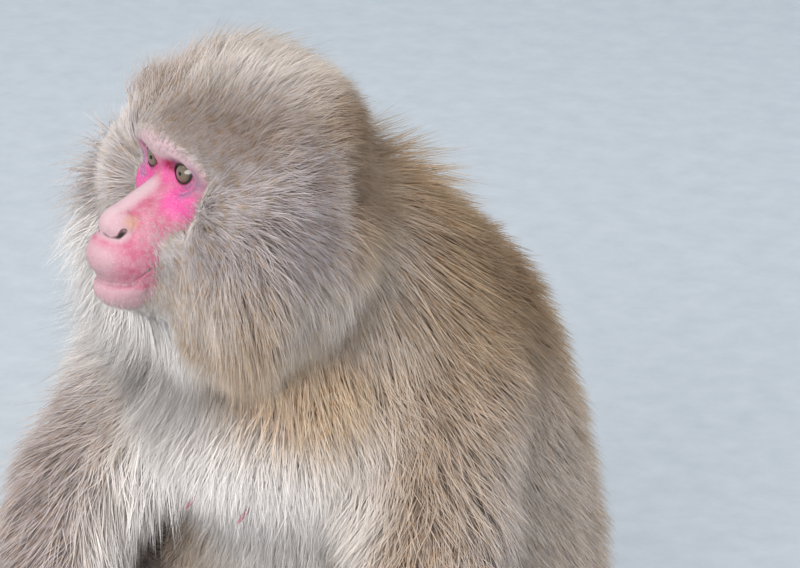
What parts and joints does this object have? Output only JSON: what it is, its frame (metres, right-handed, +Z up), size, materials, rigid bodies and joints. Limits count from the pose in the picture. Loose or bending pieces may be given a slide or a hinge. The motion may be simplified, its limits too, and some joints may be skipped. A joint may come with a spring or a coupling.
{
  "type": "japanese macaque, seated",
  "caption": "Life-size still model of a seated Japanese macaque in winter coat, head turned to its right, hands draped over its feet.",
  "frame": {"origin": "middle of the footprint's bounding box, on the floor it sits on", "axes": "+Z up; the chest faces -Y; +X is the animal's left"},
  "size_m": [0.36, 0.5528, 0.5169],
  "materials": {
    "coat": "long soft winter fur, grey-brown with pale tips",
    "face_skin": "bare pink-red skin, satin",
    "paw_skin": "bare grey-pink skin of palms, soles and digits, matte",
    "eye": "wet gloss"
  },
  "bodies": {
    "root": {"head": "coat", "ear_left": "coat", "ear_right": "coat", "neck": "coat", "chest": "coat", "belly": "coat", "rump": "coat", "tail": "coat", "upper_arm_left": "coat", "forearm_left": "coat", "thigh_left": "coat", "shin_left": "coat", "upper_arm_right": "coat", "forearm_right": "coat", "thigh_right": "coat", "shin_right": "coat", "muzzle": "face_skin", "jaw": "face_skin", "hand_left": "paw_skin", "foot_left": "paw_skin", "hand_right": "paw_skin", "foot_right": "paw_skin", "eye_left": "eye", "eye_right": "eye"}
  },
  "joints": []
}
